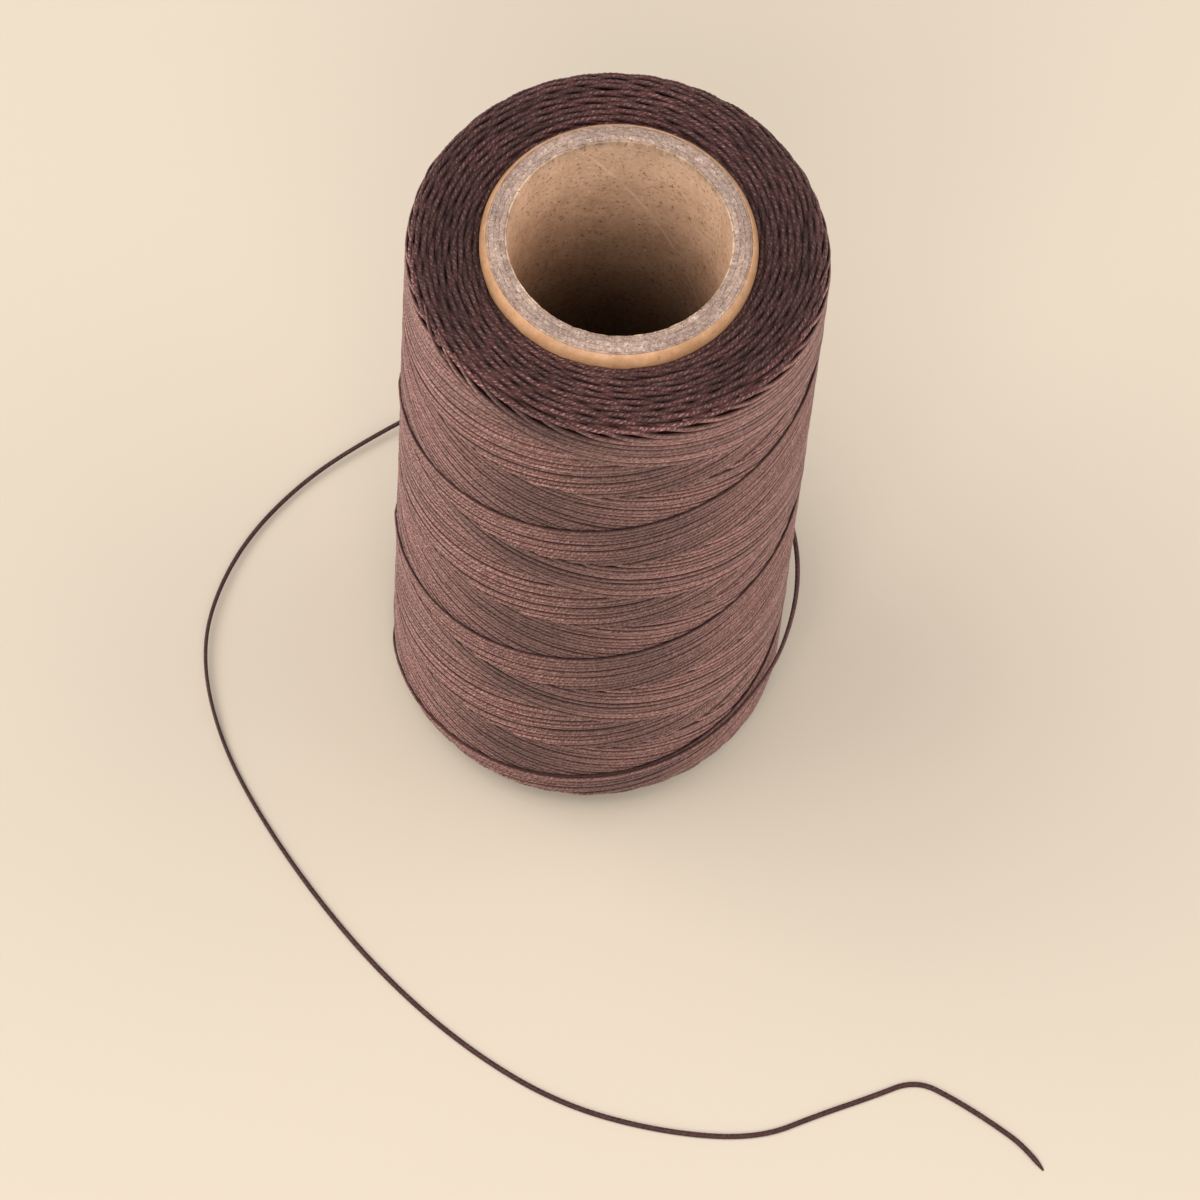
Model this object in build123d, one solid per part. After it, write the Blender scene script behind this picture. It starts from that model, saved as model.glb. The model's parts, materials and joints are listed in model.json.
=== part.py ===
from build123d import *
import os
from math import cos, pi, radians, sin, sqrt, tan

# Waxed thread spool: a plain paper tube, spiral-wound from kraft and chipboard plies, that carries
# one long waxed thread wound on it as a parallel cross-wound package with no flanges. The spool
# stands on the end of its tube. The loose end of the thread leaves the winding near the bottom
# and lies round the spool on the surface that it stands on.
#
# Frame: millimetres, +Z up along the tube's axis, origin at the centre of the tube's lower end.
# -Y is the front, +X is to the right as the front is faced. Angles round the spool are measured
# from the front, towards the right.

# ---------------------------------------------------------------- driving dimensions (mm)
BORE_RADIUS = 14.5  # inside of the tube, which goes over a thread stand's pin or cone
TUBE_RADIUS = 18.0  # outside of the tube
TUBE_LENGTH = 110.0
LINER_THICKNESS = 0.3  # smooth kraft ply inside the bore
WRAP_THICKNESS = 0.4  # tan kraft ply outside
BOARD_PLIES = 4  # grey chipboard plies between the two
LINER_EDGE_RADIUS = 0.12  # burnish on the liner's cut edges
TUBE_END_ROUNDING = 2.0  # the outer wrap is rolled in over the tube's ends

WINDING_RADIUS = 27.5
WINDING_BOTTOM = 2.5  # bare tube below the winding
WINDING_TOP = 108.2
COVERS = 10  # complete covers of thread, each one double layer of crossing strands
SHOULDER_RADIUS = 2.9  # rounding of the winding's upper outer edge, over its last covers
FOOT_RADIUS = 1.2  # rounding of its lower outer edge
FOOT_DIP = 0.8  # how far the first cover's turns stop short, against the tube
FOOT_DIP_SPAN = 1.6  # radial width of that dip
TURN_ROUNDING = 0.45  # crown radius of a cover's turns, as a share of the cover's thickness

THREAD_DIAMETER = 0.8  # twisted, slightly flattened waxed thread
LAST_WRAP_FROM = -56.0  # degrees: the last wrap turns up from the winding's bottom edge here
LAST_WRAP_TO = 52.0  # degrees: the loose end leaves the winding here
LAST_WRAP_TURNS = 9  # corners of its path
LAST_WRAP_SLOPE = 0.072  # mm of rise for each degree
LAST_WRAP_END_Z = 12.8

FILLET_SHARE = 0.45  # an arc of a thread's path uses this much of its shorter run

# The loose end's route: off the winding at the right, round behind the spool and down to the
# surface, then round the left of the spool and across its front to the cut end.
TAIL_ROUTE = [
    (22.0, -17.2, 12.8),
    (26.1, -11.6, 13.9),
    (28.5, -5.0, 14.8),
    (29.5, 2.6, 15.2),
    (28.7, 10.4, 15.1),
    (26.0, 18.2, 14.3),
    (21.5, 25.6, 12.6),
    (14.9, 32.0, 10.3),
    (6.5, 36.8, 7.8),
    (-3.4, 39.3, 5.4),
    (-14.1, 38.6, 3.4),
    (-24.4, 34.8, 2.0),
    (-34.1, 28.0, 1.3),
    (-42.6, 20.5, 1.0),
    (-49.4, 11.1, 1.0),
    (-53.2, 1.0, 1.3),
    (-54.2, -8.4, 1.6),
    (-51.8, -18.6, 1.1),
    (-46.2, -29.6, 0.4),
    (-36.5, -43.0, 0.4),
    (-24.9, -55.7, 0.4),
    (-12.0, -66.1, 0.4),
    (1.8, -73.5, 0.4),
    (16.3, -76.4, 0.4),
    (29.6, -76.2, 0.4),
    (38.2, -71.6, 0.4),
    (45.0, -68.4, 0.4),
    (51.0, -65.2, 0.4),
    (56.8, -67.8, 0.4),
    (62.8, -71.3, 0.4),
    (66.7, -74.0, 0.4),
    (69.3, -77.1, 0.4),
]


# ---------------------------------------------------------------- helpers
def write(node, solid):
    """Writes one sub-part to its own file."""
    solid.label = node
    export_step(solid, "parts/" + node + ".step")
    print(f"{node:24s} {solid.volume:12.2f} mm3")


def half_section(inner, outer, low, high):
    """Half of the section of a plain tube about the Z axis."""
    return Plane.XZ * Pos((inner + outer) / 2, (low + high) / 2) * Rectangle(outer - inner, high - low)


def sleeve(inner, outer, low, high, edge=0.0):
    """A plain tube about the Z axis, with its four edges rounded by edge."""
    section = half_section(inner, outer, low, high)
    if edge > 0:
        section = fillet(section.vertices(), edge)
    return revolve(section, Axis.Z, 360)


def round_ended(radius, short):
    """Half section of the rolled tube out to radius, stopping short by short at both ends."""
    section = half_section(BORE_RADIUS, radius, short, TUBE_LENGTH - short)
    outer_corners = section.vertices().sort_by(Axis.X)[-2:]
    return fillet(outer_corners, TUBE_END_ROUNDING - short)


def thread_tube(route):
    """A round thread along a route of straight runs joined by tangent arcs."""
    points = [Vector(*p) for p in route]
    runs = [b - a for a, b in zip(points, points[1:])]
    radii = []
    for before, after in zip(runs, runs[1:]):
        half_turn = radians(before.get_angle(after)) / 2
        shorter = min(before.length, after.length)
        radii.append(FILLET_SHARE * shorter / tan(half_turn))
    path = FilletPolyline(*points, radius=radii)
    start = Plane(origin=points[0], z_dir=runs[0])
    solid = sweep(start * Circle(THREAD_DIAMETER / 2), path=path)
    plain_volume = pi * THREAD_DIAMETER**2 / 4 * path.length
    print(f"  path {path.length:.1f} mm, volume / (section x path) {solid.volume / plain_volume:.4f}")
    print("  radii", " ".join(f"{r:.1f}" for r in radii))
    return solid


# ---------------------------------------------------------------- the paper tube
def make_tube():
    """Inner liner, chipboard plies and outer wrap, one inside the other, glued face to face.

    The tube's ends are rolled: their outer corner is round, and the wrap curls in over the
    outermost board ply.
    """
    board_inner = BORE_RADIUS + LINER_THICKNESS
    board_outer = TUBE_RADIUS - WRAP_THICKNESS
    ply = (board_outer - board_inner) / BOARD_PLIES
    outside = round_ended(TUBE_RADIUS, 0)
    under_wrap = round_ended(board_outer, WRAP_THICKNESS)
    write("tube_inner_liner", sleeve(BORE_RADIUS, board_inner, 0, TUBE_LENGTH, LINER_EDGE_RADIUS))
    for i in range(BOARD_PLIES - 1):
        inner = board_inner + i * ply
        section = outside & half_section(inner, inner + ply, 0, TUBE_LENGTH)
        write(f"tube_board_ply_{i + 1}", revolve(section, Axis.Z, 360))
    curl_end = board_outer - ply
    section = under_wrap & half_section(curl_end, board_outer, 0, TUBE_LENGTH)
    write(f"tube_board_ply_{BOARD_PLIES}", revolve(section, Axis.Z, 360))
    section = (outside - under_wrap) & half_section(curl_end, TUBE_RADIUS, 0, TUBE_LENGTH)
    write("tube_outer_wrap", revolve(section, Axis.Z, 360))


# ---------------------------------------------------------------- the winding
def end_inset(radius, rounding):
    """How far short of the winding's end the turns at this radius stop, at a rounded outer edge."""
    past = radius - (WINDING_RADIUS - rounding)
    if past > 0:
        return rounding - sqrt(rounding**2 - past**2)
    foot = 1 - (radius - TUBE_RADIUS) / FOOT_DIP_SPAN
    if foot > 0:
        return FOOT_DIP * foot**2
    return 0.0


def make_winding():
    """The covers of thread, each one wound tightly over the one before."""
    cover = (WINDING_RADIUS - TUBE_RADIUS) / COVERS
    for i in range(COVERS):
        inner = TUBE_RADIUS + i * cover
        low = WINDING_BOTTOM + end_inset(inner + cover / 2, FOOT_RADIUS)
        high = WINDING_TOP - end_inset(inner + cover / 2, SHOULDER_RADIUS)
        solid = sleeve(inner, inner + cover, low, high, TURN_ROUNDING * cover)
        write(f"thread_cover_{i + 1:02d}", solid)


def on_last_wrap(angle, radius):
    """The point of the last wrap at an angle round the spool, in degrees."""
    z = LAST_WRAP_END_Z - (LAST_WRAP_TO - angle) * LAST_WRAP_SLOPE
    return (radius * sin(radians(angle)), -radius * cos(radians(angle)), z)


def make_last_wrap():
    """The last wrap lies on the winding and climbs from its bottom edge to the loose end.

    Its path's runs touch a circle just outside the winding, so the corners lie further out, and
    its last run is in line with the loose end's first one.
    """
    leaves = Vector(*TAIL_ROUTE[0])
    onward = (Vector(*TAIL_ROUTE[1]) - leaves).normalized()
    radius = Vector(leaves.X, leaves.Y).length
    step = (LAST_WRAP_TO - LAST_WRAP_FROM) / (LAST_WRAP_TURNS + 1)
    corner_radius = radius / cos(radians(step / 2))
    route = [on_last_wrap(LAST_WRAP_FROM, radius)]
    for i in range(LAST_WRAP_TURNS):
        route.append(on_last_wrap(LAST_WRAP_FROM + (i + 0.5) * step, corner_radius))
    straight = radius * tan(radians(step / 2))
    route.append(tuple(leaves - onward * straight))
    route.append(tuple(leaves))
    write("thread_last_wrap", thread_tube(route))


def make_tail():
    """The loose end of the thread."""
    write("thread_tail", thread_tube(TAIL_ROUTE))


os.makedirs("parts", exist_ok=True)
make_tube()
make_winding()
make_last_wrap()
make_tail()
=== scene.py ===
import json
from math import ceil, cos, hypot, pi, radians, sin, sqrt, tau

import bpy
import numpy as np
from mathutils import Matrix, Vector


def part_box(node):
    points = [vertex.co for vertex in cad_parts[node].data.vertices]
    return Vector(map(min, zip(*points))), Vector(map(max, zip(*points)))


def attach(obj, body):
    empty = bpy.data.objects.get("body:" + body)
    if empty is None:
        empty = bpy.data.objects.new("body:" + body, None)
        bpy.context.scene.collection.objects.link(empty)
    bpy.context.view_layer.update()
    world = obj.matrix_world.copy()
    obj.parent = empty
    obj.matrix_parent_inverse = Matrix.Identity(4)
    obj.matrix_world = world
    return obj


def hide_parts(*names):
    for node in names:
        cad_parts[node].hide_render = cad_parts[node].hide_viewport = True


# Looks of a waxed thread spool: a spiral-wound paper tube that carries a cross-wound package of
# dark brown twisted thread, with the thread's loose end lying round it.
#
# Metres, +Z up, origin at the centre of the tube's lower end, -Y to the front. Angles round the
# spool are in radians from the front towards the right, and a strand's place on the winding is
# told by two turn counts: up = z / LEAD - angle / tau for the strands that climb to the right,
# and down = z / LEAD + angle / tau for those that fall to the right.

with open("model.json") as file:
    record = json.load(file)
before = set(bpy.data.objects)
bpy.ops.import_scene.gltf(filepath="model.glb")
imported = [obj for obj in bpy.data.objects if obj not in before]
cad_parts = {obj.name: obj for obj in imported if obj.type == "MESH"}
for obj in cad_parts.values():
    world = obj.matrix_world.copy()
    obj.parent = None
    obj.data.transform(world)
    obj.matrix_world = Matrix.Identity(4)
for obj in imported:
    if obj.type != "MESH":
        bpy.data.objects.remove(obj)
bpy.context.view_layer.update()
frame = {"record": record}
MM = 0.001

# ---------------------------------------------------------------- sizes from the frame
TUBE_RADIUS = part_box("tube_outer_wrap")[1].x
TUBE_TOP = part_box("tube_inner_liner")[1].z
WRAP_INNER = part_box("tube_board_ply_4")[1].x
BOARD_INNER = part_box("tube_inner_liner")[1].x
BORE_RADIUS = frame["record"]["mounts"][0]["dims"]["r_mm"] * MM
BOARD_PLIES = 4
TUBE_END_ROUNDING = 2.0 * MM
CURL_END = 17.2 * MM  # radius that the outer wrap reaches in to, over the board's end
COVERS = 10
WINDING_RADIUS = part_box("thread_cover_10")[1].x
WINDING_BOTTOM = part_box("thread_cover_05")[0].z
WINDING_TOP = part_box("thread_cover_05")[1].z
WINDING_LENGTH = WINDING_TOP - WINDING_BOTTOM
SHOULDER_RADIUS = 2.9 * MM  # rounding of the winding's upper outer edge
FOOT_RADIUS = 1.2 * MM  # and of its lower one

SEAM_RISE = 22.0 * MM  # of the liner's helical seam in one radian
SEAM_START = 4.51  # radians

# ---------------------------------------------------------------- the thread and how it's wound
STRANDS = 40  # strands side by side in one cover, each way
LEAD = 36.15 * MM  # rise of a strand in one turn
SLOPE = LEAD / (tau * WINDING_RADIUS)
UP_FRONT = 0.1638  # turn counts of the newest strands
DOWN_FRONT = 0.7018
FRONT_GAP = 0.021  # share of the strands' pitch saved up as a crevice at each front
STRAND_HALF_WIDTH = 0.45 * MM
STRAND_HALF_DEPTH = 0.235 * MM
PACKED_REACH = (7 * MM, 15 * MM)  # the strands lie closer and smoother this near to the upper end
PACKED_SWELL = 0.17  # and are wider there by this share
COVER_STEP = 0.36 * MM  # height of the newest strands over the oldest
SURFACE_LOW = WINDING_RADIUS - 0.36 * MM  # crest radius of the oldest strands
DIVE = 0.3 * MM  # how far a strand drops where a newer one crosses it
CLEAR_BELOW = 0.4 * MM  # the side strands end this near to the winding's lower end
CLEAR_ABOVE = 1.4 * MM  # and this near to its upper one
EDGE_SINK = 0.55 * MM  # and have sunk in so far by then
SHORTEST_RUN = 0.4 * MM  # in height, of a side strand's stretches that are worth drawing
LOOSE_SHARE = 0.12  # of the side strands lie less evenly than the others
LOOSE_OFFSET = 2.2  # as many times as far aside
BELT_STRANDS = 9  # the last wrap pushes the newest climbing strands along, about this many
BELT_HEIGHTS = (8 * MM, 16 * MM)  # and fades out between these heights
CORE_LOW = 1.0 * MM  # the older thread under the side strands starts this far from the lower end
CORE_HIGH = 1.6 * MM  # and stops this far from the upper one
CORE_SINK = 0.42 * MM  # under the crests
CORE_END_SINK = 0.5 * MM  # and this much more near its ends
CORE_DEPTH = 2.2 * MM  # of its inner wall
MOST_TRIANGLES = 170000  # in one piece of side strands, before the next one starts
TURN_LENGTH = 9.0 * MM  # of a strand's reversal at an end of the winding
TURN_SPREAD = 0.5 * MM  # how far a reversal moves out to either side of its cover's middle
TURN_HALF_WIDTH = 0.34 * MM
TURN_HALF_DEPTH = 0.3 * MM
TURN_SINK = 1.1 * MM  # how far a reversal sinks in at its ends
TURN_PAINTED_SHADE = 0.56  # the reversals are painted darker than the sides, as painted shade
SHOULDER_PAINTED_SHADE = 0.84  # but less so on the rounded outer edge
BODY_SINK = 0.8 * MM  # how far a cover's body stays below its reversals
BODY_SINK_ROUND = 1.3 * MM  # and where the shoulder is rounded
ROUND_COVERS = 3  # covers with a body that the shoulder's rounding takes in
PLIES = 3
PLY_PITCH = 2.25 * MM
PLY_LOBE = 0.055  # height of the plies' lobes, as a share of the strand's half section
STEP = 0.25 * MM  # between sections of a strand
SIDE_POINTS = 7  # points of a strand's section
SIDE_ARC = 1.9  # radians that they reach each way from its crest, the section being flat beneath

LAST_WRAP_FROM = radians(-56)
LAST_WRAP_TO = radians(52)
LAST_WRAP_TUCK = radians(38)  # it starts this much further back than its plain CAD tube
LAST_WRAP_LOW = 0.4 * MM  # it lies this high over the winding's lower end before it climbs
LAST_WRAP_BEND = 0.5 * MM  # how gently it starts to climb
LAST_WRAP_END_Z = 12.8 * MM
LAST_WRAP_SLOPE = 0.072 * MM * 180 / pi  # rise for each radian

# The loose end's route: off the winding at the right, round behind the spool and down to the
# surface, then round the left of the spool and across its front to the cut end.
TAIL_ROUTE = [
    (0.0220, -0.0172, 0.0128),
    (0.0261, -0.0116, 0.0139),
    (0.0285, -0.0050, 0.0148),
    (0.0295, 0.0026, 0.0152),
    (0.0287, 0.0104, 0.0151),
    (0.0260, 0.0182, 0.0143),
    (0.0215, 0.0256, 0.0126),
    (0.0149, 0.0320, 0.0103),
    (0.0065, 0.0368, 0.0078),
    (-0.0034, 0.0393, 0.0054),
    (-0.0141, 0.0386, 0.0034),
    (-0.0244, 0.0348, 0.0020),
    (-0.0341, 0.0280, 0.0013),
    (-0.0426, 0.0205, 0.0010),
    (-0.0494, 0.0111, 0.0010),
    (-0.0532, 0.0010, 0.0013),
    (-0.0542, -0.0084, 0.0016),
    (-0.0518, -0.0186, 0.0011),
    (-0.0462, -0.0296, 0.0004),
    (-0.0365, -0.0430, 0.0004),
    (-0.0249, -0.0557, 0.0004),
    (-0.0120, -0.0661, 0.0004),
    (0.0018, -0.0735, 0.0004),
    (0.0163, -0.0764, 0.0004),
    (0.0296, -0.0762, 0.0004),
    (0.0382, -0.0716, 0.0004),
    (0.0450, -0.0684, 0.0004),
    (0.0510, -0.0652, 0.0004),
    (0.0568, -0.0678, 0.0004),
    (0.0628, -0.0713, 0.0004),
    (0.0667, -0.0740, 0.0004),
    (0.0693, -0.0771, 0.0004),
]
TAIL_HALF_WIDTH = 0.38 * MM
TAIL_HALF_DEPTH = 0.23 * MM
TAIL_TAPER = 2.2 * MM  # of the cut end
# How the flattened thread is turned about its own length: share of its length, degrees, where
# 0 lies flat on the surface and 90 stands on edge as it does on the winding.
TAIL_ROLL = [
    (0, 90),
    (0.03, 65),
    (0.08, 20),
    (0.25, 12),
    (0.42, 20),
    (0.52, 70),
    (0.6, 55),
    (0.7, 20),
    (0.85, 8),
    (1, 12),
]


# ---------------------------------------------------------------- camera
CAMERA_PLACE = (0, -0.42576, 0.81073)
CAMERA_HEADING = -0.0039  # radians
CAMERA_DIP = 1.0817  # below the level
CAMERA_LEAN = 0.0899
CAMERA_LENS = 191.4  # mm


def make_camera():
    """Looks down on the spool from the front, from far off through a long lens."""
    data = bpy.data.cameras.new("camera")
    data.lens = CAMERA_LENS
    data.sensor_width = 36
    data.clip_start = 0.05
    data.clip_end = 20
    camera = bpy.data.objects.new("camera", data)
    heading = Matrix.Rotation(CAMERA_HEADING, 4, "Z")
    tilt = Matrix.Rotation(pi / 2 - CAMERA_DIP, 4, "X")
    lean = Matrix.Rotation(CAMERA_LEAN, 4, "Z")
    camera.matrix_world = Matrix.Translation(CAMERA_PLACE) @ heading @ tilt @ lean
    bpy.context.scene.collection.objects.link(camera)
    bpy.context.scene.camera = camera


# ---------------------------------------------------------------- small maths
def around(radius, angle, z):
    """Points at a radius, an angle round the spool and a height."""
    radius, angle, z = np.broadcast_arrays(radius, angle, z)
    return np.stack([radius * np.sin(angle), -radius * np.cos(angle), z], axis=-1)


def outward(angle):
    """Unit vectors straight out of the spool."""
    return around(1.0, angle, 0.0)


def unit(vectors):
    return vectors / np.linalg.norm(vectors, axis=-1, keepdims=True)


def ease(low, high, value):
    """Goes smoothly from 0 at low to 1 at high."""
    t = np.clip((value - low) / (high - low), 0, 1)
    return t * t * (3 - 2 * t)


def wander(rng, along, size, wave):
    """A slow uneven drift along a strand."""
    drift = np.zeros_like(along)
    for share in (1.0, 0.47, 0.21):
        drift += share * np.sin(tau * along / (wave * share) + rng.uniform(0, tau))
    return size * drift / 1.3


def lengths_along(points):
    """Distance of each point along the line through them all."""
    steps = np.linalg.norm(np.diff(points, axis=0), axis=1)
    return np.concatenate([[0], np.cumsum(steps)])


# ---------------------------------------------------------------- meshes of many strands
class Bundle:
    """Collects closed strands and rings into one mesh, with what its material needs to know:
    fibre, a point's place in the twisted thread, shade, painted shade from 0 in a crevice to 1 on a
    crest, and tone, a number of each strand's own, times the painted light and shade of where it lies."""

    def __init__(self):
        self.points = []
        self.quads = []
        self.caps = []
        self.fibre = []
        self.shade = []
        self.tone = []
        self.tangent = []
        self.count = 0

    def triangles(self):
        return 2 * sum(len(q) for q in self.quads)

    def grid(self, points, fibre, shade, tone, tangent=(1.0, 0, 0), loop_rows=False, caps=False):
        """Adds a grid of points, closed across each row, and also from row to row if asked."""
        rows, columns = points.shape[:2]
        index = self.count + np.arange(rows * columns).reshape(rows, columns)
        across = np.roll(index, -1, axis=1)
        if loop_rows:
            here, there = index, np.roll(index, -1, axis=0)
            here_across, there_across = across, np.roll(across, -1, axis=0)
        else:
            here, there = index[:-1], index[1:]
            here_across, there_across = across[:-1], across[1:]
        quads = np.stack([here, here_across, there_across, there], axis=-1).reshape(-1, 4)
        self.quads.append(quads)
        if caps:
            self.caps.append(index[0][::-1])
            self.caps.append(index[-1])
        self.points.append(points.reshape(-1, 3))
        self.fibre.append(np.broadcast_to(fibre, points.shape).reshape(-1, 3))
        self.shade.append(np.broadcast_to(shade, (rows, columns)).reshape(-1))
        self.tone.append(np.broadcast_to(tone, (rows, columns)).reshape(-1))
        self.tangent.append(np.broadcast_to(np.array(tangent), points.shape).reshape(-1, 3))
        self.count += rows * columns

    def strand(self, centre, out, half_width, half_depth, phase, tone, painted_dimming=1.0, lobe=PLY_LOBE):
        """Adds a twisted strand along centre, flattened across out."""
        along = lengths_along(centre)
        forward = unit(np.gradient(centre, axis=0))
        side = unit(np.cross(out, forward))
        out = np.cross(forward, side)
        round_it = np.linspace(-SIDE_ARC, SIDE_ARC, SIDE_POINTS)
        twist = phase + tau * along / PLY_PITCH
        ply = round_it[None, :] - twist[:, None]
        swell = 1 + lobe * np.cos(PLIES * ply)
        half_width = np.broadcast_to(half_width, along.shape)[:, None]
        half_depth = np.broadcast_to(half_depth, along.shape)[:, None]
        lateral = half_width * swell * np.sin(round_it)
        height = half_depth * swell * np.cos(round_it)
        points = centre[:, None] + side[:, None] * lateral[..., None] + out[:, None] * height[..., None]
        fibre = np.stack([np.cos(ply), np.sin(ply), along[:, None] / MM + 0 * ply], axis=-1)
        # shade is painted shade: dark in the crevices at the strand's edges and in the grooves between
        # its plies, and dimmed further where the caller asks
        crest = np.clip(np.cos(round_it) * 1.1, 0, 1) ** 0.95
        groove = 0.5 + 0.5 * np.cos(PLIES * ply)
        depth = 0.2 + 1.5 * lobe
        shade = crest * (1 - depth + depth * groove) * np.broadcast_to(painted_dimming, along.shape)[:, None]
        sideways = side[:, None] * np.cos(round_it)[:, None] - out[:, None] * np.sin(round_it)[:, None]
        tone = np.broadcast_to(tone, along.shape)[:, None]
        self.grid(points, fibre, shade, tone, sideways, caps=True)

    def ring(self, radii, heights, tone, segments=180):
        """Adds a closed ring whose section has these radii and heights, painted all in the crevice shade
        colour.
        """
        angle = np.arange(segments) / segments * tau
        points = around(np.array(radii)[None, :], angle[:, None], np.array(heights)[None, :])
        self.grid(points, np.zeros(3), 0.0, tone, loop_rows=True)

    def make(self, name, material, slot, replaces):
        """Makes the object, with smooth shading, riding on the spool."""
        mesh = bpy.data.meshes.new(name)
        quads = np.concatenate(self.quads)
        loops = np.concatenate([quads.ravel()] + self.caps)
        sizes = np.concatenate([np.full(len(quads), 4), [len(c) for c in self.caps]]).astype(int)
        starts = np.concatenate([[0], np.cumsum(sizes)[:-1]])
        mesh.vertices.add(self.count)
        mesh.vertices.foreach_set("co", np.concatenate(self.points).astype(np.float32).ravel())
        mesh.loops.add(len(loops))
        mesh.loops.foreach_set("vertex_index", loops.astype(np.int32))
        mesh.polygons.add(len(sizes))
        mesh.polygons.foreach_set("loop_start", starts.astype(np.int32))
        mesh.update(calc_edges=True)
        mesh.shade_smooth()
        for key, values in (("fibre", self.fibre), ("across", self.tangent)):
            attribute = mesh.attributes.new(key, "FLOAT_VECTOR", "POINT")
            attribute.data.foreach_set("vector", np.concatenate(values).astype(np.float32).ravel())
        for key, values in (("shade", self.shade), ("tone", self.tone)):
            attribute = mesh.attributes.new(key, "FLOAT", "POINT")
            attribute.data.foreach_set("value", np.concatenate(values).astype(np.float32))
        mesh.materials.append(material)
        piece = bpy.data.objects.new(name, mesh)
        bpy.context.scene.collection.objects.link(piece)
        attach(piece, "root")
        if replaces:
            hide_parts(*replaces)
        return piece


# ---------------------------------------------------------------- node materials
def new_material(name):
    """A material with its node tree, its shader and a short way to add and link nodes."""
    material = bpy.data.materials.new(name)
    material.use_nodes = True
    nodes = material.node_tree.nodes
    return material, nodes, material.node_tree.links, nodes["Principled BSDF"]


def attribute_node(nodes, name):
    node = nodes.new("ShaderNodeAttribute")
    node.attribute_name = name
    return node


def ramp_node(nodes, *stops):
    """A colour ramp with these (place, linear colour) stops."""
    node = nodes.new("ShaderNodeValToRGB")
    elements = node.color_ramp.elements
    while len(elements) < len(stops):
        elements.new(0.5)
    for element, (place, colour) in zip(elements, stops):
        element.position = place
        element.color = (*colour, 1)
    return node


def mix_node(nodes, links, kind, factor, a, b):
    """Mixes two colours. Each of factor, a and b is a socket or a value."""
    node = nodes.new("ShaderNodeMix")
    node.data_type = "RGBA"
    node.blend_type = kind
    for socket, value in ((node.inputs["Factor"], factor), (node.inputs[6], a), (node.inputs[7], b)):
        if isinstance(value, bpy.types.NodeSocket):
            links.new(value, socket)
        elif isinstance(value, tuple):
            socket.default_value = (*value, 1)
        else:
            socket.default_value = value
    return node.outputs[2]


def noise_node(nodes, links, vector, scale, detail=3.0, roughness=0.55):
    node = nodes.new("ShaderNodeTexNoise")
    node.inputs["Scale"].default_value = scale
    node.inputs["Detail"].default_value = detail
    node.inputs["Roughness"].default_value = roughness
    links.new(vector, node.inputs["Vector"])
    return node.outputs["Fac"]


def maths_node(nodes, links, operation, a, b=0.0):
    node = nodes.new("ShaderNodeMath")
    node.operation = operation
    for socket, value in zip(node.inputs, (a, b)):
        if isinstance(value, bpy.types.NodeSocket):
            links.new(value, socket)
        else:
            socket.default_value = value
    return node.outputs[0]


def range_node(nodes, links, value, from_low, from_high, to_low, to_high):
    node = nodes.new("ShaderNodeMapRange")
    links.new(value, node.inputs["Value"])
    node.inputs["From Min"].default_value = from_low
    node.inputs["From Max"].default_value = from_high
    node.inputs["To Min"].default_value = to_low
    node.inputs["To Max"].default_value = to_high
    return node.outputs["Result"]


def bump_node(nodes, links, height, strength, distance):
    node = nodes.new("ShaderNodeBump")
    node.inputs["Strength"].default_value = strength
    node.inputs["Distance"].default_value = distance
    links.new(height, node.inputs["Height"])
    return node.outputs["Normal"]


def scaled_vector(nodes, links, vector, scale):
    node = nodes.new("ShaderNodeVectorMath")
    node.operation = "MULTIPLY"
    links.new(vector, node.inputs[0])
    node.inputs[1].default_value = scale
    return node.outputs["Vector"]


def scaled_colour(nodes, links, colour, factor):
    node = nodes.new("ShaderNodeVectorMath")
    node.operation = "SCALE"
    links.new(colour, node.inputs[0])
    links.new(factor, node.inputs["Scale"])
    return node.outputs["Vector"]


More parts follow.
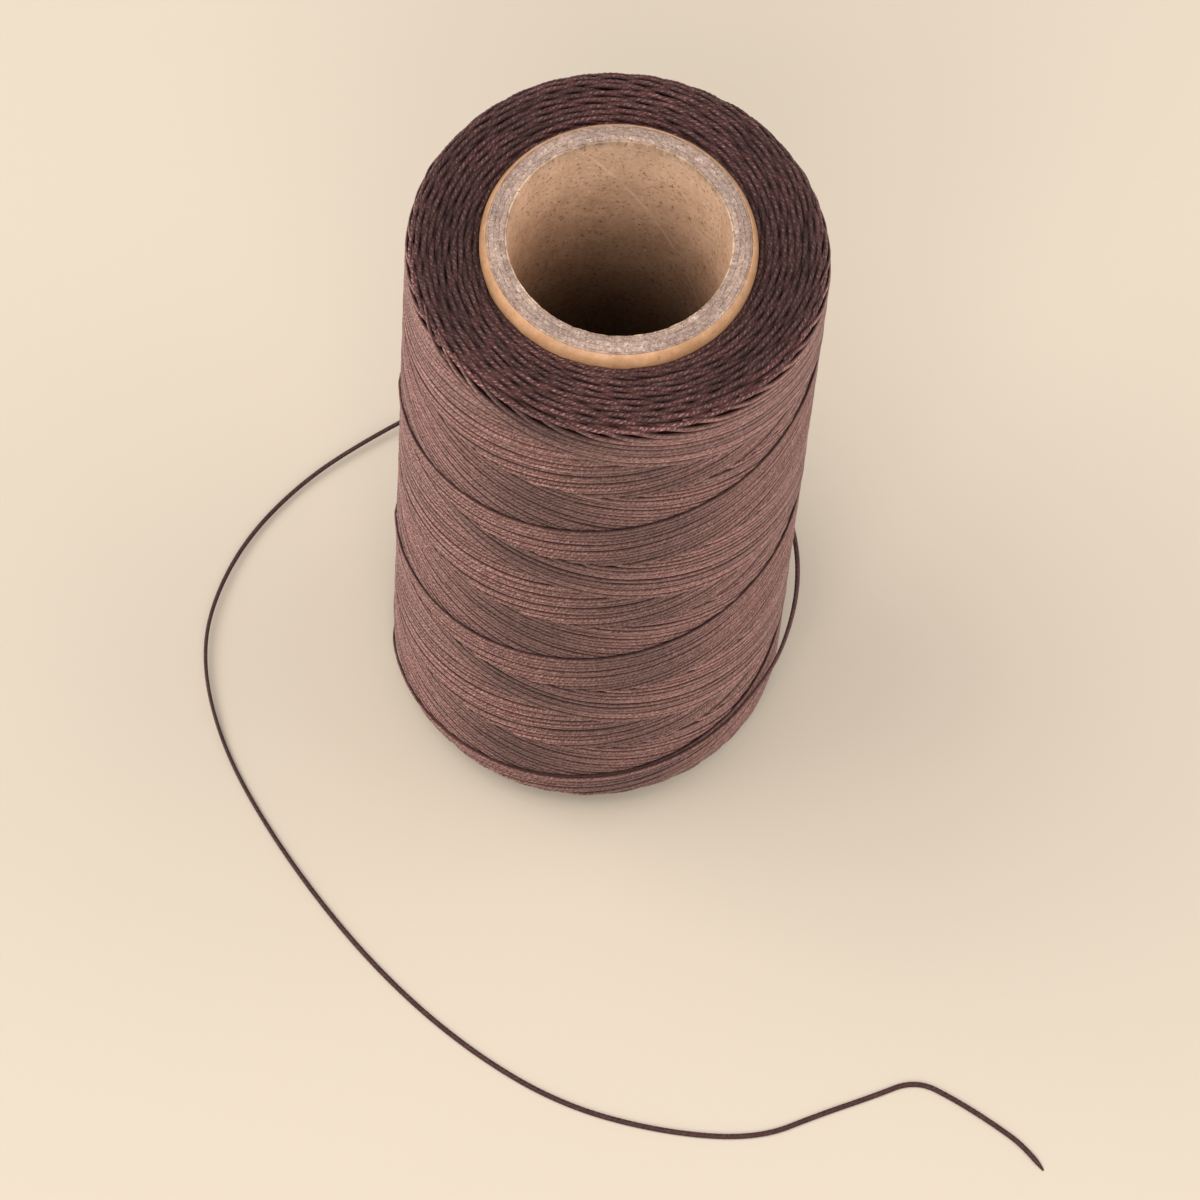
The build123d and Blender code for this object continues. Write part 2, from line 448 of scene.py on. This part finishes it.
def thread_material(name, crevice_shade, body, painted_highlight, roughness, sheen):
    """Waxed twisted thread: filaments along the plies, painted shade in the crevices, painted highlight
    flecks on the crests and a soft waxy sheen.
    """
    material, nodes, links, shader = new_material(name)
    fibre = attribute_node(nodes, "fibre")
    shade = attribute_node(nodes, "shade")
    tone = attribute_node(nodes, "tone")
    place = fibre.outputs["Vector"]
    filaments = scaled_vector(nodes, links, place, (3.2, 3.2, 0.9))
    streaks = noise_node(nodes, links, filaments, 2.4, 4.0, 0.65)
    # painted highlight flecks: light specks that lift the crests into the painted highlight colour, with
    # darker specks between
    specks = scaled_vector(nodes, links, place, (1.0, 1.0, 1.5))
    highlight_flecks = noise_node(nodes, links, specks, 2.1, 2.0, 0.6)
    patches = noise_node(nodes, links, place, 0.35, 2.0)
    between = tuple(0.5 * (a + b) for a, b in zip(crevice_shade, body))
    # the ramp runs from painted crevice shade through the thread's body colour to a painted highlight
    ramp = ramp_node(nodes, (0.0, crevice_shade), (0.42, between), (0.8, body), (1.0, painted_highlight))
    by_streak = range_node(nodes, links, streaks, 0.32, 0.68, 0.6, 1.35)
    by_highlight_fleck = range_node(nodes, links, highlight_flecks, 0.33, 0.67, 0.45, 1.58)
    streaked = maths_node(nodes, links, "MULTIPLY", shade.outputs["Fac"], by_streak)
    lit = maths_node(nodes, links, "MULTIPLY", streaked, by_highlight_fleck)
    links.new(lit, ramp.inputs["Fac"])
    worn = range_node(nodes, links, patches, 0.3, 0.7, 0.82, 1.18)
    own = maths_node(nodes, links, "MULTIPLY", worn, tone.outputs["Fac"])
    colour = scaled_colour(nodes, links, ramp.outputs["Color"], own)
    rough = range_node(nodes, links, streaks, 0.3, 0.7, roughness + 0.12, roughness - 0.08)
    links.new(colour, shader.inputs["Base Color"])
    links.new(rough, shader.inputs["Roughness"])
    links.new(bump_node(nodes, links, streaks, 0.8, 0.09 * MM), shader.inputs["Normal"])
    links.new(attribute_node(nodes, "across").outputs["Vector"], shader.inputs["Tangent"])
    shader.inputs["Anisotropic"].default_value = 0.8
    shader.inputs["Specular IOR Level"].default_value = 0.4
    shader.inputs["Specular Tint"].default_value = (1.0, 0.76, 0.7, 1)
    shader.inputs["Sheen Weight"].default_value = sheen
    shader.inputs["Sheen Roughness"].default_value = 0.35
    shader.inputs["Sheen Tint"].default_value = (1.0, 0.72, 0.69, 1)
    return material


def seam_node(nodes, links, place):
    """Not 0 only along the helical seam between the edges of the strip that a ply is wound from."""
    parts = nodes.new("ShaderNodeSeparateXYZ")
    links.new(place, parts.inputs[0])
    turned = maths_node(nodes, links, "ARCTAN2", parts.outputs["X"], parts.outputs["Y"])
    climbed = maths_node(nodes, links, "DIVIDE", parts.outputs["Z"], SEAM_RISE)
    helix = maths_node(nodes, links, "ADD", turned, climbed)
    near = maths_node(nodes, links, "COSINE", maths_node(nodes, links, "SUBTRACT", helix, SEAM_START))
    line = range_node(nodes, links, near, 0.99965, 0.99998, 0.0, 0.5)
    broken = range_node(nodes, links, noise_node(nodes, links, place, 300, 2.0), 0.35, 0.6, 0.1, 1.0)
    return maths_node(nodes, links, "MULTIPLY", line, broken)


def paper_material(name, low, high, fleck, light_fleck, fleck_share, grain, roughness, bump, seam_share):
    """Recycled paper or board: mottled fibres with flecks, a helical seam, and the painted light and
    shade of the shade attribute, dark in the bore's depths.
    """
    material, nodes, links, shader = new_material(name)
    place = nodes.new("ShaderNodeTexCoord").outputs["Object"]
    cloud = noise_node(nodes, links, place, grain * 0.22, 4.0)
    fine = noise_node(nodes, links, place, grain, 5.0, 0.7)
    speck = noise_node(nodes, links, place, grain * 1.7, 2.0, 0.6)
    mixed = mix_node(nodes, links, "MIX", range_node(nodes, links, fine, 0.3, 0.7, 0.0, 1.0), low, high)
    mottled = mix_node(nodes, links, "MULTIPLY", 0.9, mixed, mottle(nodes, links, cloud))
    mask = range_node(nodes, links, speck, 0.5 + fleck_share, 0.58 + fleck_share, 0.0, 0.8)
    dark = mix_node(nodes, links, "MIX", mask, mottled, fleck)
    light_mask = range_node(nodes, links, speck, 0.47 - fleck_share, 0.4 - fleck_share, 0.0, 0.7)
    flecked = mix_node(nodes, links, "MIX", light_mask, dark, light_fleck)
    seam = maths_node(nodes, links, "MULTIPLY", seam_node(nodes, links, place), seam_share)
    seamed = mix_node(nodes, links, "MIX", seam, flecked, (0.86, 0.64, 0.46))
    colour = scaled_colour(nodes, links, seamed, attribute_node(nodes, "shade").outputs["Fac"])
    rough = range_node(nodes, links, fine, 0.3, 0.7, roughness + 0.08, roughness - 0.1)
    links.new(colour, shader.inputs["Base Color"])
    links.new(rough, shader.inputs["Roughness"])
    height = maths_node(nodes, links, "SUBTRACT", fine, seam)
    links.new(bump_node(nodes, links, height, bump, 0.15 * MM), shader.inputs["Normal"])
    return material


def mottle(nodes, links, value):
    """A gentle warm mottle to multiply a colour with."""
    node = ramp_node(nodes, (0.33, (0.8, 0.76, 0.72)), (0.64, (1.0, 1.0, 1.0)))
    links.new(value, node.inputs["Fac"])
    return node.outputs["Color"]


# ---------------------------------------------------------------- the winding's sides
def edge_drop(reach, rounding):
    """How far the winding's surface pulls in at this reach from its end, whose edge is rounded."""
    short = np.clip(rounding - reach, 0, rounding)
    return rounding - np.sqrt(rounding**2 - short**2)


def covered_radius(ages, rise):
    """Radius of the winding's surface where the two ways' strands have these ages in all."""
    covered = SURFACE_LOW + COVER_STEP * (2 - ages)
    left = WINDING_LENGTH - rise
    blend = ease(1.0 * MM, 5.0 * MM, np.minimum(rise, left))
    drop = edge_drop(np.maximum(rise, 0), FOOT_RADIUS) + edge_drop(np.maximum(left, 0), SHOULDER_RADIUS)
    return WINDING_RADIUS + (covered - WINDING_RADIUS) * blend - drop


def crest_radius(angle, rise):
    """Radius of the winding's surface at an angle and a height above its lower end."""
    up_age = (UP_FRONT - rise / LEAD + angle / tau) % 1
    down_age = (rise / LEAD + angle / tau - DOWN_FRONT) % 1
    return covered_radius(up_age + down_age, rise)


def from_front(angle):
    """The same angle as a turn of up to half a circle either way from the front."""
    return (angle + pi) % tau - pi


def belt_shift(angle):
    """How far the last wrap lies above the straight helix of the newest climbing strand."""
    held = np.clip(angle, LAST_WRAP_FROM, LAST_WRAP_TO)
    wrap = LAST_WRAP_END_Z - WINDING_BOTTOM - (LAST_WRAP_TO - held) * LAST_WRAP_SLOPE
    helix = LEAD * (UP_FRONT + held / tau)
    return (wrap - helix) * (1 - ease(LAST_WRAP_TO, LAST_WRAP_TO + 1.2, angle))


def strand_runs(family, number):
    """The stretches of a side strand that newer strands leave in view: for each one the rise and
    angle of its points, the age of what crosses there, and how deep they dive."""
    age = number * (1 - FRONT_GAP) / STRANDS
    if family > 0:
        start_angle = -tau * (UP_FRONT - age)
        offset = -(UP_FRONT - age) - DOWN_FRONT
    else:
        start_angle = tau * (DOWN_FRONT + age)
        offset = UP_FRONT + DOWN_FRONT + age
    begins = age - 1 / STRANDS if family > 0 else age
    tuck = 0.7 / STRANDS
    runs = []
    for lap in range(-9, 12):
        ends = (begins, 1.0 + tuck)
        first, last = sorted(family * (a + lap - offset) * LEAD / 2 for a in ends)
        low, high = max(first, -3 * MM), min(last, WINDING_LENGTH - CLEAR_ABOVE)
        if high - low < SHORTEST_RUN:
            continue
        steps = ceil((high - low) / sin(np.arctan(SLOPE)) / STEP)
        rise = np.linspace(low, high, steps + 1)
        angle = start_angle + family * tau * rise / LEAD
        crossing = family * 2 * rise / LEAD + offset - lap
        under_row = 1 - ease(0.1, 0.75, (crossing - begins) * STRANDS)
        under_front = 0.3 * (1 - ease(0.0, 0.8, (1 - crossing) * STRANDS))
        dive = np.maximum(under_row, under_front)
        if family > 0 and rise.mean() < BELT_HEIGHTS[1]:
            weight = np.exp(-((number / BELT_STRANDS) ** 2)) * (1 - ease(*BELT_HEIGHTS, rise))
            rise = rise + belt_shift(from_front(angle)) * weight
        keep = rise > CLEAR_BELOW
        if keep.sum() > 4:
            ages = age + np.minimum(crossing, 1.0)
            runs.append((rise[keep], angle[keep], ages[keep], dive[keep]))
    return runs


def painted_facing_light(family, angle):
    """Painted light and shade on a side strand's colour: darker at the front, and darkest to one side of
    it, standing in for how the lamps light the strands.
    """
    turned = from_front(angle)
    front = 0.2 * np.exp(-((turned / 0.75) ** 2))
    crossing = 0.5 * np.exp(-(((turned - family * 0.32) / 0.46) ** 2))
    return 1.16 - front - crossing


def side_strand(bundle, rng, family, number):
    """Adds the visible stretches of one side strand."""
    offset = rng.normal(0, 0.08 * MM) * (LOOSE_OFFSET if rng.random() < LOOSE_SHARE else 1.0)
    lift = rng.normal(0, 0.035 * MM)
    tone = 1 + rng.normal(0, 0.16)
    for rise, angle, ages, dive in strand_runs(family, number):
        drop = DIVE * dive * rng.uniform(0.45, 1.0)
        drop += EDGE_SINK * (1 - ease(CLEAR_BELOW, CLEAR_BELOW + 1.1 * MM, rise))
        drop += EDGE_SINK * (1 - ease(CLEAR_ABOVE, CLEAR_ABOVE + 1.3 * MM, WINDING_LENGTH - rise))
        radius = covered_radius(ages, rise) - STRAND_HALF_DEPTH - drop + lift
        along = rise / SLOPE
        packed = 1 - ease(*PACKED_REACH, WINDING_LENGTH - rise)
        drift = (offset + wander(rng, along, 0.05 * MM, 31 * MM)) * (1 - 0.5 * packed)
        half_width = STRAND_HALF_WIDTH * (1 + PACKED_SWELL * packed)
        swell = wander(rng, along, 0.025 * MM, 17 * MM)
        centre = around(radius + swell, angle, WINDING_BOTTOM + rise + drift)
        # painted shade where a newer strand crosses over and this one dives under it
        painted_dimming = 1 - 0.2 * dive
        # the strand's own random tone, times the painted light and shade of where it faces
        own = tone * (1 + wander(rng, along, 0.06, 23 * MM)) * painted_facing_light(family, angle)
        phase = rng.uniform(0, tau)
        bundle.strand(centre, outward(angle), half_width, STRAND_HALF_DEPTH, phase, own, painted_dimming)


def side_core(bundle):
    """Adds the older thread under the side strands, painted dark as the shade between them, and darker
    still near its ends.
    """
    angle = np.linspace(0, tau, 241)[:-1]
    rise = np.linspace(CORE_LOW, WINDING_LENGTH - CORE_HIGH, 207)
    reach = np.minimum(rise, WINDING_LENGTH - rise)
    sunk = CORE_SINK + CORE_END_SINK * (1 - ease(1.4 * MM, 4 * MM, reach))
    outer = crest_radius(angle[None, :], rise[:, None]) - sunk[:, None]
    points = around(outer, angle[None, :], WINDING_BOTTOM + rise[:, None])
    inner = WINDING_RADIUS - CORE_DEPTH
    lower = around(inner + 0 * angle, angle, WINDING_BOTTOM + rise[0])[None]
    upper = around(inner + 0 * angle, angle, WINDING_BOTTOM + rise[-1])[None]
    closed = np.concatenate([lower, points, upper])
    # painted shade: the core is painted dark, and darker towards its ends
    shade = 0.32 * ease(1.6 * MM, 4 * MM, np.concatenate([reach[:1], reach, reach[-1:]]))
    bundle.grid(closed, np.zeros(3), shade[:, None], 1.0, loop_rows=True)


def make_sides(material):
    """The outermost cover's strands, both ways, in several pieces."""
    rng = np.random.default_rng(11)
    for family, word in ((1, "climbing"), (-1, "falling")):
        bundle, made = Bundle(), 1
        for number in range(STRANDS):
            side_strand(bundle, rng, family, number)
            if bundle.triangles() > MOST_TRIANGLES or number == STRANDS - 1:
                bundle.make(f"side_strands_{word}_{made}", material, "waxed_thread", ["thread_cover_10"])
                bundle, made = Bundle(), made + 1


# ---------------------------------------------------------------- the winding's ends
def turn(bundle, rng, middle, lower_by, start, end):
    """Adds one strand's reversal at an end of the winding, 1 for the upper end, -1 for the lower.
    It crosses its cover's edge outwards and sinks in at both its ends, round the shoulder too."""
    corner = SHOULDER_RADIUS if end > 0 else FOOT_RADIUS
    shoulder = WINDING_RADIUS - corner
    lean = np.arcsin(max(middle - shoulder, 0) / corner)
    half = TURN_LENGTH / 2 * (1 + 0.6 * sin(lean) ** 2)
    share = np.linspace(-1, 1, ceil(2 * half / (0.8 * STEP)))
    along = half * share
    angle = start + along / middle
    spread = TURN_SPREAD / max(cos(lean), 0.6) * share
    spread += rng.normal(0, 0.05 * MM) + wander(rng, along, 0.03 * MM, 9 * MM)
    past = corner * lean + min(middle - shoulder, 0) + spread
    lean = np.clip(past / corner, 0, 1.45)
    fall = TURN_SINK * share**2 + abs(rng.normal(0, 0.08 * MM)) + wander(rng, along, 0.02 * MM, 8 * MM)
    deep = np.minimum(TURN_HALF_DEPTH + fall, corner - 0.1 * MM)
    radius = shoulder + np.minimum(past, 0) + (corner - deep) * np.sin(lean)
    height = WINDING_LENGTH - lower_by - corner + (corner - deep) * np.cos(lean)
    z = WINDING_BOTTOM + height if end > 0 else WINDING_TOP - height
    centre = around(radius, angle, z)
    up = np.array([0, 0, float(end)])
    out = unit(np.cos(lean)[:, None] * up + np.sin(lean)[:, None] * outward(angle))
    facing_out = np.sin(lean) ** 2
    # painted light and shade: the reversals are painted darker than the sides, less so where they face
    # out over the shoulder, darker at the left and right than at the front and back, and dimmed towards
    # their sunk ends, into the grooves between the rings
    painted_sidelong_light = 1.14 - 0.52 * np.sin(angle) ** 2 * (1 - facing_out)
    tone = (TURN_PAINTED_SHADE + (SHOULDER_PAINTED_SHADE - TURN_PAINTED_SHADE) * facing_out) * painted_sidelong_light * (1 + rng.normal(0, 0.2))
    painted_dimming = (0.08 + 0.92 * (1 - share**2) ** 1.3) * (0.86 + 0.14 * facing_out)
    phase = rng.uniform(0, tau)
    bundle.strand(centre, out, TURN_HALF_WIDTH, TURN_HALF_DEPTH, phase, tone, painted_dimming, lobe=0.12)


def make_cover(number, material, rng):
    """One cover: its body, and its strands' reversals standing out as a rope-like ring."""
    node = f"thread_cover_{number:02d}"
    low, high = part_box(node)
    outer = high.x
    inner = outer - (WINDING_RADIUS - TUBE_RADIUS) / COVERS
    middle = (inner + outer) / 2
    bundle = Bundle()
    if number == COVERS:
        side_core(bundle)
    else:
        bottom = low.z + BODY_SINK
        top = high.z - (BODY_SINK if number < COVERS - ROUND_COVERS else BODY_SINK_ROUND)
        edge = outer - 0.08 * MM
        # the cover's body, painted dark as crevice shade
        bundle.ring([inner, edge, edge, inner], [bottom, bottom, top, top], 1.0)
    for end in (1, -1):
        short = WINDING_TOP - high.z if end > 0 else low.z - WINDING_BOTTOM
        lower_by = short if number < COVERS / 2 else 0.0
        first = rng.uniform(0, tau)
        for i in range(STRANDS):
            start = first + (i + rng.normal(0, 0.12)) * tau / STRANDS
            turn(bundle, rng, middle, lower_by, start, end)
    bundle.make(f"cover_{number:02d}", material, "waxed_thread", [node])


# ---------------------------------------------------------------- last wrap and loose end
def make_last_wrap(material):
    """The last part turn, from the winding's bottom edge to where the loose end leaves it."""
    start = LAST_WRAP_FROM - LAST_WRAP_TUCK
    angle = np.linspace(start, LAST_WRAP_TO, ceil((LAST_WRAP_TO - start) * WINDING_RADIUS / STEP))
    straight = LAST_WRAP_END_Z - (LAST_WRAP_TO - angle) * LAST_WRAP_SLOPE - WINDING_BOTTOM
    above = straight - LAST_WRAP_LOW
    rise = LAST_WRAP_LOW + 0.5 * (above + np.hypot(above, LAST_WRAP_BEND))
    short = np.clip(FOOT_RADIUS - rise, 0, FOOT_RADIUS) / FOOT_RADIUS
    flat = np.sqrt(1 - short**2)
    off = (0.1 + 0.2 * ease(-0.6, 0.2, angle) - 0.9 * (1 - ease(start, start + 0.3, angle))) * MM
    leaves = hypot(TAIL_ROUTE[0][0], TAIL_ROUTE[0][1])
    laid = WINDING_RADIUS - FOOT_RADIUS * (1 - flat) + off * flat
    radius = laid + (leaves - laid) * ease(radians(15), LAST_WRAP_TO, angle)
    centre = around(radius, angle, WINDING_BOTTOM + rise - off * short)
    out = outward(angle) * flat[:, None] - np.array([0, 0, 1.0]) * short[:, None]
    bundle = Bundle()
    bundle.strand(centre, out, TAIL_HALF_WIDTH, TAIL_HALF_DEPTH * 1.2, 0.0, 0.95)
    bundle.make("last_wrap", material, "waxed_thread", ["thread_last_wrap"])


def tail_path():
    """Points along the loose end's own smooth line, read from its NURBS spline."""
    curve = bpy.data.curves.new("tail_route", "CURVE")
    curve.dimensions = "3D"
    curve.resolution_u = 40
    spline = curve.splines.new("NURBS")
    spline.points.add(len(TAIL_ROUTE) - 1)
    for point, place in zip(spline.points, TAIL_ROUTE):
        point.co = (*place, 1)
    spline.order_u = 3
    spline.use_endpoint_u = True
    carrier = bpy.data.objects.new("tail_route", curve)
    line = bpy.data.meshes.new_from_object(carrier)
    points = np.zeros(len(line.vertices) * 3)
    line.vertices.foreach_get("co", points)
    bpy.data.objects.remove(carrier)
    bpy.data.curves.remove(curve)
    bpy.data.meshes.remove(line)
    points = points.reshape(-1, 3)
    along = lengths_along(points)
    even = np.linspace(0, along[-1], ceil(along[-1] / STEP) + 1)
    return np.stack([np.interp(even, along, points[:, i]) for i in range(3)], axis=-1)


def make_tail(path, material):
    """The loose end: a flattened twisted thread, turned now flat and now on edge."""
    along = lengths_along(path)
    share = along / along[-1]
    roll = np.radians(np.interp(share, *zip(*TAIL_ROLL)))
    roll = np.convolve(np.pad(roll, 30, mode="edge"), np.ones(61) / 61, mode="valid")
    forward = unit(np.gradient(path, axis=0))
    side = unit(np.cross(forward, np.array([0, 0, 1.0])))
    upright = np.cross(side, forward)
    out = np.cos(roll)[:, None] * upright + np.sin(roll)[:, None] * side
    narrow = np.sqrt(ease(-0.6 * MM, TAIL_TAPER, along[-1] - along))
    half_height = np.hypot(TAIL_HALF_DEPTH * np.cos(roll), TAIL_HALF_WIDTH * np.sin(roll)) * narrow
    rest = path.copy()
    on_floor = 1 - ease(0.4 * MM, 1.2 * MM, path[:, 2])
    rest[:, 2] += (half_height - path[:, 2]) * on_floor
    bundle = Bundle()
    # painted light: the loose end is painted lighter where it still stands on edge by the winding
    tone = 1.4 - 0.7 * ease(0.0, 0.12, share)
    bundle.strand(rest, out, TAIL_HALF_WIDTH * narrow, TAIL_HALF_DEPTH * narrow, 0.0, tone, lobe=0.04)
    tail = bundle.make("loose_end", material, "waxed_thread", ["thread_tail"])


# ---------------------------------------------------------------- the paper tube
def tube_ring(name, ends, walls, material, slot, rng, rough):
    """A ply of the tube as a closed ring. ends are the radii and depths below the tube's end of
    its cut end's points, from the inside out, and walls are its inner and outer walls' rows."""
    segments = 720
    angle = np.arange(segments) / segments * tau
    lower = [(r, depth, -1.0) for r, depth in reversed(ends)]
    upper = [(r, TUBE_TOP - depth, 1.0) for r, depth in ends]
    outer_wall = [(ends[-1][0], z, 0.0) for z in np.linspace(TUBE_TOP, 0, walls[1] + 2)[1:-1]]
    inner_wall = [(ends[0][0], z, 0.0) for z in np.linspace(0, TUBE_TOP, walls[0] + 2)[1:-1]]
    radii, heights, ragged = (np.array(v)[None, :] for v in zip(*upper, *outer_wall, *lower, *inner_wall))
    rows = radii.shape[1]
    jitter = rng.uniform(-1, 0, (segments, rows))
    jitter = 0.5 * (jitter + np.roll(jitter, 1, axis=0))
    slow = wander(rng, angle, 0.5, tau / 5)[:, None] + wander(rng, angle, 0.35, tau / 37)[:, None]
    z = heights + ragged * rough * (jitter + slow - 0.9)
    points = around(radii, angle[:, None], z)
    depth = np.minimum(z, TUBE_TOP - z)
    lit = 1 + 3 * rough / MM * np.abs(ragged) * (jitter + slow + 0.4)
    # the liner is painted darker deep in the bore as painted shade, its left and right walls painted
    # lighter as painted light, and its cut end darker
    if walls[0]:
        sideways = np.sin(angle[:, None])
        lit = lit * (1 - 0.75 * ease(7 * MM, 48 * MM, depth))
        lit = lit * (0.93 + 0.4 * sideways**2 - 0.08 * sideways)
        lit = lit * (1 - 0.3 * np.abs(ragged))
    bundle = Bundle()
    bundle.grid(points, np.zeros(3), lit, 1.0, loop_rows=True)
    bundle.make(name, material, slot, ["tube_" + name])


def rolled_depth(radius, corner, centre):
    """Depth below the tube's end of a rolled corner of this radius about centre."""
    across = np.clip(radius - centre, 0, corner)
    return TUBE_END_ROUNDING - sqrt(corner**2 - across**2)


def board_depth(radius, centre, curl):
    """Depth below the tube's end of the board plies' cut ends, which go in under the wrap."""
    if radius > CURL_END:
        return rolled_depth(radius, curl, centre)
    return rolled_depth(radius, TUBE_END_ROUNDING, centre)


def rolled_arc(corner, centre, start, end, count):
    """Radii and depths of points on a rolled corner, from start to end in radians off the top."""
    arc = np.linspace(start, end, count)
    return [(centre + corner * sin(a), TUBE_END_ROUNDING - corner * cos(a)) for a in arc]


def liner_material():
    return paper_material(
        "kraft_liner",
        low=(0.61, 0.395, 0.25),
        high=(0.76, 0.525, 0.36),
        fleck=(0.20, 0.08, 0.05),
        light_fleck=(0.8, 0.65, 0.5),
        fleck_share=0.1,
        grain=1100,
        roughness=0.75,
        bump=0.5,
        seam_share=1.0,
    )


def board_material():
    return paper_material(
        "chipboard",
        low=(0.25, 0.158, 0.119),
        high=(0.59, 0.42, 0.338),
        fleck=(0.13, 0.075, 0.055),
        light_fleck=(0.84, 0.76, 0.72),
        fleck_share=0.1,
        grain=2400,
        roughness=0.6,
        bump=0.9,
        seam_share=0.0,
    )


def wrap_material():
    return paper_material(
        "kraft_wrap",
        low=(0.52, 0.255, 0.12),
        high=(0.68, 0.395, 0.215),
        fleck=(0.38, 0.19, 0.09),
        light_fleck=(0.8, 0.52, 0.3),
        fleck_share=0.17,
        grain=800,
        roughness=0.5,
        bump=0.25,
        seam_share=0.0,
    )


def make_tube():
    """Liner, four board plies and the outer wrap, whose end curls in over the outermost ply."""
    rng = np.random.default_rng(5)
    liner = liner_material()
    board = board_material()
    wrap = wrap_material()
    centre = TUBE_RADIUS - TUBE_END_ROUNDING
    curl = TUBE_END_ROUNDING - (TUBE_RADIUS - WRAP_INNER)
    soft = 0.05 * MM
    liner_ends = [
        (BORE_RADIUS, 0.2 * MM),
        (BORE_RADIUS + soft, soft),
        (BORE_RADIUS + 3 * soft, 0.0),
        (BOARD_INNER, 0.0),
    ]
    tube_ring("inner_liner", liner_ends, (60, 0), liner, "kraft_liner", rng, 0.14 * MM)
    ply = (WRAP_INNER - BOARD_INNER) / BOARD_PLIES
    for i in range(BOARD_PLIES):
        inner = BOARD_INNER + i * ply
        ends = [(r, board_depth(r, centre, curl)) for r in np.linspace(inner, inner + ply, 6)]
        tube_ring(f"board_ply_{i + 1}", ends, (0, 0), board, "chipboard", rng, 0.09 * MM)
    end_over = np.arcsin((CURL_END - centre) / TUBE_END_ROUNDING)
    end_beneath = np.arcsin((CURL_END - centre) / curl)
    over = rolled_arc(TUBE_END_ROUNDING, centre, end_over, pi / 2, 14)
    beneath = rolled_arc(curl, centre, pi / 2, end_beneath, 8)
    tube_ring("outer_wrap", beneath + over, (0, 40), wrap, "kraft_wrap", rng, 0.03 * MM)


# ---------------------------------------------------------------- stage
def make_floor():
    """A plain pale surface."""
    mesh = bpy.data.meshes.new("floor")
    mesh.from_pydata([(-3, -3, 0), (3, -3, 0), (3, 3, 0), (-3, 3, 0)], [], [(0, 1, 2, 3)])
    material, nodes, links, shader = new_material("floor")
    shader.inputs["Base Color"].default_value = (0.675, 0.575, 0.455, 1)
    shader.inputs["Roughness"].default_value = 0.6
    shader.inputs["Specular IOR Level"].default_value = 0.3
    mesh.materials.append(material)
    floor = bpy.data.objects.new("floor", mesh)
    bpy.context.scene.collection.objects.link(floor)


def make_light(name, place, target, size, power, colour):
    """A soft square lamp that faces target."""
    data = bpy.data.lights.new(name, "AREA")
    data.size = size
    data.energy = power
    data.color = colour
    lamp = bpy.data.objects.new(name, data)
    lamp.location = place
    lamp.rotation_mode = "QUATERNION"
    lamp.rotation_quaternion = (Vector(place) - Vector(target)).to_track_quat("Z", "Y")
    bpy.context.scene.collection.objects.link(lamp)


def make_studio():
    """A big soft key from the left and above, a fill from the front and an even sky."""
    make_light("key", (-0.8, 0.05, 1.2), (0, 0, 0.05), 1.1, 10, (1.0, 0.98, 0.95))
    make_light("opposite", (0.95, 0.2, 1.1), (0, 0, 0.05), 1.2, 6, (1.0, 0.98, 0.96))
    make_light("fill", (-0.1, -1.25, 1.0), (0, 0, 0.05), 1.1, 14, (1.0, 0.97, 0.94))
    world = bpy.data.worlds.new("sky")
    world.use_nodes = True
    world.node_tree.nodes["Background"].inputs["Color"].default_value = (0.95, 0.97, 1.0, 1)
    world.node_tree.nodes["Background"].inputs["Strength"].default_value = 0.55
    bpy.context.scene.world = world
    bpy.context.scene.view_settings.view_transform = "Standard"


# ---------------------------------------------------------------- build
make_camera()
# The three thread materials are one thread in lit and shaded copies: the wound sides painted lightest,
# the reversals redder and darker, and the loose end darkest, as painted light and shade.
tail_thread = thread_material(
    "tail_thread",
    crevice_shade=(0.012, 0.004, 0.005),
    body=(0.052, 0.018, 0.018),
    painted_highlight=(0.14, 0.05, 0.045),
    roughness=0.4,
    sheen=0.3,
)
wound_thread = thread_material(
    "wound_thread",
    crevice_shade=(0.016, 0.005, 0.004),
    body=(0.15, 0.055, 0.043),
    painted_highlight=(0.46, 0.255, 0.23),
    roughness=0.42,
    sheen=0.3,
)
turned_thread = thread_material(
    "turned_thread",
    crevice_shade=(0.012, 0.003, 0.003),
    body=(0.16, 0.049, 0.043),
    painted_highlight=(0.52, 0.31, 0.3),
    roughness=0.4,
    sheen=0.14,
)
make_tail(tail_path(), tail_thread)
make_floor()
make_studio()
make_tube()
make_sides(wound_thread)
cover_rng = np.random.default_rng(23)
for cover in range(1, COVERS + 1):
    make_cover(cover, turned_thread, cover_rng)
make_last_wrap(wound_thread)
